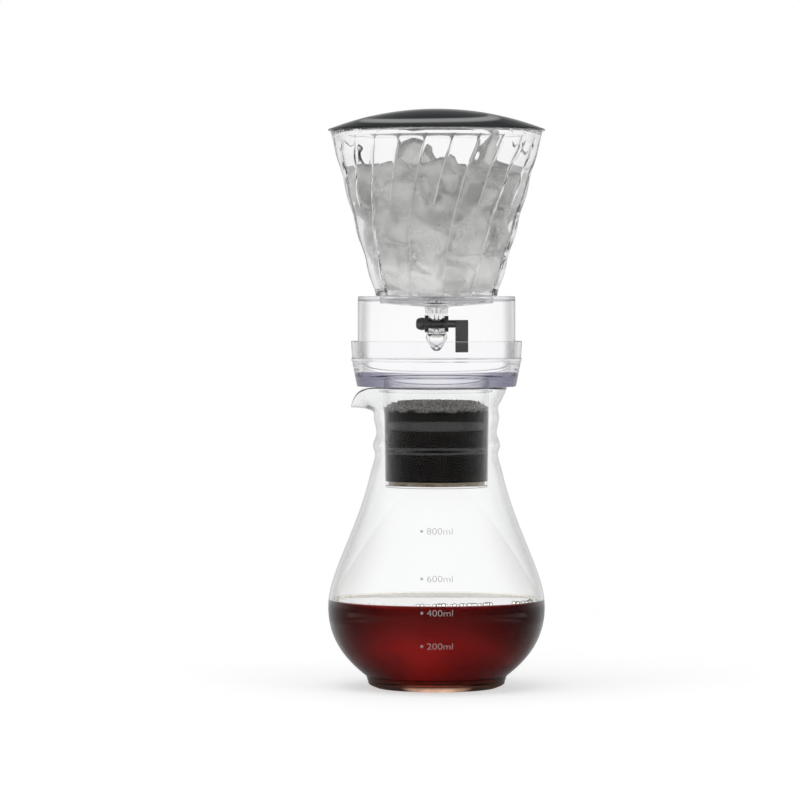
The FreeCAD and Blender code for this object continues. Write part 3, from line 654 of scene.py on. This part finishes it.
# ---- Ice ----
# Tray ice that has started to melt: cloudy lumps with rounded corners that have settled against the
# wall and frozen together, with one tall lump and a thin shard on top. A painted glow brightens the
# heap at the foot and the crown in place of light scattered through it, and painted shade darkens a
# band above its middle.
heap_foot, heap_top, lump_spacing, lump_tries = 218.0, 277.0, 14.6, 4000
wall_gap, floor_height, floor_round, frozen_grain = 0.5, 213.4, 217.0, 1.1
ice_finish, tree, shader, place = finish("ice", IOR=1.31, Transmission_Weight=0.55, Emission_Strength=1.0)
cloud = mottle(tree, place, 70.0, 4.0)
tint = ramp(tree, cloud, (0.38, (0.70, 0.70, 0.68)), (0.60, (0.98, 0.98, 0.97)))
heap = graded(tree, axes(tree, place)["Z"], 0.213, 0.303)
# Painted shade in a band above the middle of the heap.
painted_band_shade = ramp(tree, heap, (0.0, 1.0), (0.42, 0.94), (0.57, 0.82), (0.70, 1.0), (1.0, 1.0))
greyed_by_painted_shade = node(tree, "VectorMath", {0: tint, 1: painted_band_shade}, operation="MULTIPLY")
# A painted glow at the foot and the crown, in place of light scattered through the heap.
painted_foot_and_crown_glow = ramp(tree, heap, (0.0, 0.14), (0.11, 0.115), (0.27, 0.05), (0.42, 0.0), (0.66, 0.0), (0.78, 0.06),
                 (1.0, 0.08))
feed(shader, {"Base Color": greyed_by_painted_shade.outputs["Vector"], "Emission Color": painted_foot_and_crown_glow})
handled(tree, shader, place, (60.0, 0.18, 0.5), (120.0, 0.0006))

chance = random.Random(23)
noise.seed_set(23)
ice = bmesh.new()


def lump(middle, size, turned):
    """Adds one rounded, uneven lump, in millimetres."""
    one = bmesh.new()
    bmesh.ops.create_cube(one, size=1.0)
    bmesh.ops.subdivide_edges(one, edges=one.edges[:], cuts=3, use_grid_fill=True)
    for _ in range(2):
        bmesh.ops.smooth_vert(one, verts=one.verts[:], factor=0.5, use_axis_x=True, use_axis_y=True,
                              use_axis_z=True)
    bmesh.ops.transform(one, matrix=Matrix.Translation(middle) @ turned @ Matrix.Diagonal((*size, 1.0)),
                        verts=one.verts)
    drift = Vector((chance.uniform(-9, 9), chance.uniform(-9, 9), chance.uniform(-9, 9)))
    for vert in one.verts:
        vert.co += (noise.noise_vector(vert.co * 0.09 + drift) * 2.2
                    + noise.noise_vector(vert.co * 0.3 + drift) * 0.6)
    cast = bpy.data.meshes.new("lump")
    one.to_mesh(cast)
    one.free()
    ice.from_mesh(cast)
    bpy.data.meshes.remove(cast)


centres = []
for _ in range(lump_tries):
    height = chance.uniform(heap_foot, heap_top)
    room = wall_radius(height, *inner_wall) - 7.0
    angle, reach = chance.uniform(0, 2 * math.pi), room * chance.random() ** 0.3
    spot = Vector((reach * math.cos(angle), reach * math.sin(angle), height))
    if all((spot - other).length > lump_spacing for other in centres):
        centres.append(spot)
for spot in centres:
    size = [chance.uniform(19.0, 23.0) for _ in range(3)]
    tumble = chance.uniform(0, 3)
    lump(spot, size, Matrix.Rotation(tumble, 4, (chance.random(), chance.random(), chance.random())))
lump(Vector((-12.5, -8.0, 283.0)), (24.0, 24.0, 27.0), Matrix.Rotation(0.7, 4, (0.1, 1.0, 0.1)))
lump(Vector((26.5, -14.0, 290.0)), (5.5, 14.0, 27.0), Matrix.Rotation(0.45, 4, (0.0, 1.0, 0.2)))
for vert in ice.verts:
    vert.co.z = max(vert.co.z, floor_height)
    radius, height = math.hypot(vert.co.x, vert.co.y), vert.co.z
    limit = wall_radius(height, *inner_wall) - wall_gap - max(0.0, floor_round - height) * 0.8
    if radius > limit:
        vert.co.x *= limit / radius
        vert.co.y *= limit / radius
bmesh.ops.scale(ice, vec=(mm, mm, mm), verts=ice.verts)
ice_lumps = piece("ice_lumps", ice, "water_container", ice_finish)
frozen = ice_lumps.modifiers.new("frozen_together", "REMESH")
frozen.mode, frozen.voxel_size, frozen.use_smooth_shade = "VOXEL", frozen_grain * mm, True
melt = ice_lumps.modifiers.new("melted_corners", "SMOOTH")
melt.factor, melt.iterations = 0.5, 8
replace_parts(ice_lumps, "ice_charge")

# ---- Tap ----
# A small plug valve. The clear body and drip bulb are moulded in the container's plastic, and the
# plug, washers, nut and lever are black acetal, pushed together and held by the nut.
valve_grey, fine_wave = (0.55, 0.55, 0.56), (60.0, 0.00003)
valve_plastic = clear("valve_plastic", (0.98, 0.98, 0.98), (valve_grey, 40.0), wave=fine_wave)


def copied(name, node_name, body, material):
    """A tidied copy of a plain piece: its corners welded, and shaded smooth apart from its edges."""
    bm = bmesh.new()
    bm.from_mesh(nodes[node_name].data)
    bmesh.ops.remove_doubles(bm, verts=bm.verts, dist=1e-6)
    for edge in bm.edges:
        edge.smooth = not (len(edge.link_faces) == 2 and edge.calc_face_angle() > math.radians(30))
    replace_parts(piece(name, bm, body, material), node_name)


copied("valve_moulding", "valve_body", "water_container", valve_plastic)
bulb_plastic = clear("bulb_plastic", (1.0, 1.0, 1.0), (valve_grey, 20.0), wave=fine_wave, edge=0.45,
                     edge_shade_from=0.45)
bulb_top, bulb_tip = 194.55, (0.45, 183.8)
bulb_hollow = [(0.0, 193.3), (3.4, 193.0), (4.3, 191.6), (3.9, 189.4), (2.5, 187.2), (0.6, 185.9), bulb_tip]
bulb_skin = [bulb_tip, (1.2, 183.62), (2.6, 184.8), (4.1, 187.0), (5.4, 189.9), (5.88, 191.9), (5.6, 193.5),
             (4.9, bulb_top)]
bulb = turn(through(bulb_hollow, 5)[:-1] + through(bulb_skin, 5) + corners((0.0, bulb_top)), 64)
drip_bulb = piece("drip_bulb", bulb, "water_container", bulb_plastic)
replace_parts(drip_bulb, "drip_nozzle")

black, tree, shader, place = finish("black_acetal", Roughness=0.35)
speck = mottle(tree, place, 1800.0, 3.0)
feed(shader, {"Base Color": ramp(tree, speck, (0.0, (0.040, 0.039, 0.038)), (1.0, (0.105, 0.102, 0.099)))})
handled(tree, shader, place, (400.0, 0.3, 0.5), (1500.0, 0.00004))
for name in ("valve_plug", "nut_washer", "lever_washer", "tap_lever"):
    copied(name + "_moulding", name, "tap", black)
knob_line = [(0.0, 4.78), (1.4, 4.74), (2.4, 4.3), (3.05, 3.4), (3.4, 2.2), (3.44, 1.2), (3.2, 0.05)]
knob_foot, tap_height = -6.45, 198.6
knob = turn(through(knob_line, 5) + corners((2.45, 0.05), (2.45, 3.7), (0.0, 3.7)), 48)
bmesh.ops.transform(knob, verts=knob.verts, matrix=Matrix.Translation((knob_foot * mm, 0.0, tap_height * mm))
                    @ Matrix.Rotation(math.radians(-90), 4, "Y"))
knob_moulding = piece("knob_moulding", knob, "tap", black)
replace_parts(knob_moulding, "plug_nut")

rubber, tree, shader, place = finish("seal_rubber", Base_Color=(0.02, 0.02, 0.02, 1.0), Roughness=0.6)
handled(tree, shader, place, (900.0, 0.5, 0.8))
refinish("stem_seal", rubber)
refinish("plug_seals", rubber)

# ---- Lid ----
# A smoked-black dome, moulded thin with a sharp edge, that lies on the container's rim. A clear ring
# welded under it drops just inside the mouth.
lid_radius, lid_edge, dome_rise = 59.2, 303.8, 11.2
lid_finish, tree, shader, place = finish("smoked_plastic", Base_Color=(0.027, 0.029, 0.031, 1.0),
                                         Roughness=0.15)
handled(tree, shader, place, (25.0, 0.035, 0.09), (18.0, 0.00006))


def dome(radius, height, rise, steps):
    """Arc of a ball from its edge up to the axis."""
    ball = (radius ** 2 + rise ** 2) / (2 * rise)
    radii = [radius * (1 - i / steps) for i in range(steps + 1)]
    return corners(*[(r, height + rise - ball + math.sqrt(ball ** 2 - r ** 2)) for r in radii])


under_line = [(0.0, 312.8), (14.0, 311.4), (26.0, 308.6), (37.0, 305.6), (46.0, 303.7), (52.0, 303.15),
              (59.0, 303.05)]
cover = turn(through(under_line, 6) + dome(lid_radius, lid_edge, dome_rise, 36), 160)
soften(cover, 0.2)
lid_cover = piece("lid_cover", cover, "lid", lid_finish, weighted=True)
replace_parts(lid_cover, "lid")
skirt = turn(corners((51.9, 301.4), (53.2, 301.4), (53.2, 303.05), (51.9, 303.1)), 160)
soften(skirt, 0.2)
skirt_plastic = clear("skirt_plastic", (1.0, 1.0, 1.0), water_depth, marked=0.02, edge=0.95)
piece("lid_skirt", skirt, "lid", skirt_plastic, weighted=True)

# ---- Room ----
# A pale floor that runs on to a white backdrop, soft lamps above and in front, and the camera at
# the height of the drip chamber. What the eye sees is white; what the clear pieces mirror is a dark
# room with a few lit places in it.
floor_radius = 1.2
floor_paint, tree, shader, place = finish("floor_paint", Roughness=0.7)
paint = ramp(tree, mottle(tree, place, 6.0, 3.0), (0.0, 0.66), (1.0, 0.70))


def eye_paths(tree):
    """How a ray got here, and whether it was mirrored."""
    path = node(tree, "LightPath", {}).outputs
    return path, maths(tree, "MULTIPLY", path["Is Glossy Ray"], path["Is Reflection Ray"])


path, mirrored = eye_paths(tree)
from_axis = node(tree, "VectorMath", {0: place}, operation="LENGTH").outputs["Value"]
spot = axes(tree, place)
bearing = maths(tree, "DIVIDE", spot["Y"], from_axis)


def distance(place, other):
    """Distance on the floor from a point."""
    return node(tree, "VectorMath", {0: place, 1: other}, operation="DISTANCE").outputs["Value"]


# Under the foot, as seen through the glass, the floor has a dark amber painted shade, with a painted
# bright amber spot where the base gathers light.
in_foot = graded(tree, from_axis, 0.033, 0.040, 1.0, 0.0)
under_foot = maths(tree, "MULTIPLY", in_foot, path["Is Transmission Ray"])
bright_spot = graded(tree, distance(place, (-0.001, -0.030, 0.0)), 0.012, 0.022, 1.0, 0.0)
painted_glint_and_shade = mixed(tree, bright_spot, (0.04, 0.008, 0.006, 1.0), (2.4, 1.3, 0.8, 1.0))
feed(shader, {"Base Color": mixed(tree, under_foot, paint, (0.04, 0.01, 0.008, 1.0)),
              "Emission Color": mixed(tree, under_foot, (1.0, 1.0, 1.0, 1.0), painted_glint_and_shade),
              "Emission Strength": graded(tree, path["Is Diffuse Ray"], 0.0, 1.0, 0.50, 0.0)})

# The mirrored floor is lit in front and in a ring that runs round to the sides, and dim at the rear.
plain = graded(tree, path["Is Diffuse Ray"], 0.0, 1.0, 1.0, 0.75)
near_front = graded(tree, distance(place, (0.0, -0.20, 0.0)), 0.26, 0.33, 1.0, 0.0)
lit_front = maths(tree, "MULTIPLY", near_front, graded(tree, from_axis, 0.19, 0.23))
ring = maths(tree, "MULTIPLY", graded(tree, from_axis, 0.28, 0.33), graded(tree, from_axis, 0.60, 0.50))
lit_ring = maths(tree, "MULTIPLY", ring, graded(tree, bearing, 0.30, 0.15, 0.0, 0.75))
near_rear = graded(tree, spot["Y"], -0.03, 0.08, 0.05, 0.45)
far_rear = graded(tree, bearing, 0.1, 0.75, 0.05, 0.55)
rear = mixed(tree, graded(tree, from_axis, 0.10, 0.25), near_rear, far_rear)
dusk = maths(tree, "MAXIMUM", maths(tree, "MAXIMUM", lit_front, lit_ring), rear)
far = node(tree, "Emission", {"Color": mixed(tree, mirrored, plain, dusk)})
share = maths(tree, "MAXIMUM", graded(tree, from_axis, 0.2, 0.7), mirrored)
run_out = node(tree, "MixShader", {0: share, 1: shader.outputs["BSDF"], 2: far.outputs["Emission"]})
feed(tree.nodes["Material Output"], {"Surface": run_out.outputs["Shader"]})
ground = bmesh.new()
bmesh.ops.create_circle(ground, cap_ends=True, radius=floor_radius, segments=96)
ground_mesh = bpy.data.meshes.new("floor")
ground.to_mesh(ground_mesh)
ground.free()
ground_mesh.materials.append(floor_paint)
floor = bpy.data.objects.new("floor", ground_mesh)
bpy.context.scene.collection.objects.link(floor)

# The room round it: white seen plainly or through the clear pieces, and dark when mirrored, apart from
# a strip that draws a line of light along the lid's dome.
world = bpy.data.worlds.new("studio")
world.use_nodes = True
tree = world.node_tree
place = node(tree, "TexCoord", {}).outputs["Generated"]
direction = axes(tree, place)
path, mirrored = eye_paths(tree)
seen_through = ramp(tree, direction["Z"], (0.0, 1.0), (0.35, 1.0), (0.55, 0.75), (0.8, 0.65), (1.0, 0.8))
dark_room = ramp(tree, direction["Z"], (0.0, 0.6), (0.12, 0.5), (0.30, 0.15), (0.47, 0.05), (1.0, 0.12))
rearward = graded(tree, direction["Y"], 0.1, 0.75, 0.05, 1.0)
shown = mixed(tree, rearward, (0.06, 0.06, 0.06, 1.0), dark_room)
rear_point = (0.0, 0.9991, 0.0419)
turned = node(tree, "VectorMath", {0: place, 1: rear_point}, operation="SUBTRACT").outputs["Vector"]
slope = node(tree, "VectorMath", {0: turned}, operation="NORMALIZE").outputs["Vector"]
strip = ramp(tree, axes(tree, slope)["Z"], (0.0, 0.0), (0.937, 0.0), (0.942, 1.0), (0.953, 1.0), (0.958, 0.0),
             (1.0, 0.0))
bend = node(tree, "VectorMath", {0: turned}, operation="LENGTH").outputs["Value"]
strip_light = maths(tree, "MULTIPLY", strip, graded(tree, bend, 0.1, 0.55, 0.15, 1.1))
seen = mixed(tree, mirrored, seen_through, mixed(tree, strip, shown, strip_light))
feed(tree.nodes["Background"], {"Color": mixed(tree, path["Is Camera Ray"], seen, (1.0, 1.0, 1.0, 1.0)),
                                "Strength": graded(tree, path["Is Diffuse Ray"], 0.0, 1.0, 1.0, 0.75)})
bpy.context.scene.world = world


def facing(spot, aim):
    """The turn that points a lamp or a camera from a spot at an aim."""
    return (Vector(aim) - Vector(spot)).to_track_quat("-Z", "Y").to_euler()


def soft_lamp(name, power, width, height, spot, aim):
    """A broad lamp that itself can't be seen mirrored or through a clear piece."""
    data = bpy.data.lights.new(name, "AREA")
    data.energy, data.shape, data.size, data.size_y = power, "RECTANGLE", width, height
    lamp = bpy.data.objects.new(name, data)
    lamp.location = spot
    lamp.rotation_euler = facing(spot, aim)
    lamp.visible_glossy = lamp.visible_transmission = False
    bpy.context.scene.collection.objects.link(lamp)


lamp_aim = (0.0, 0.0, 0.15)
soft_lamp("overhead_lamp", 9.0, 1.2, 1.2, (-0.3, -0.4, 1.8), lamp_aim)
soft_lamp("side_lamp", 5.0, 0.8, 1.2, (1.4, -1.2, 0.7), lamp_aim)

camera_data = bpy.data.cameras.new("camera")
camera_data.lens = 190.0
camera_data.sensor_width = 36.0
camera_data.clip_end = 100.0
camera = bpy.data.objects.new("camera", camera_data)
camera.location = (-0.0199, -2.3, 0.211)
camera.rotation_euler = facing(camera.location, (-0.0199, 0.0, 0.1566))
bpy.context.scene.collection.objects.link(camera)
bpy.context.scene.camera = camera
bpy.context.scene.view_settings.view_transform = "Standard"
cycles = bpy.context.scene.cycles
cycles.max_bounces = cycles.transmission_bounces = cycles.glossy_bounces = 24
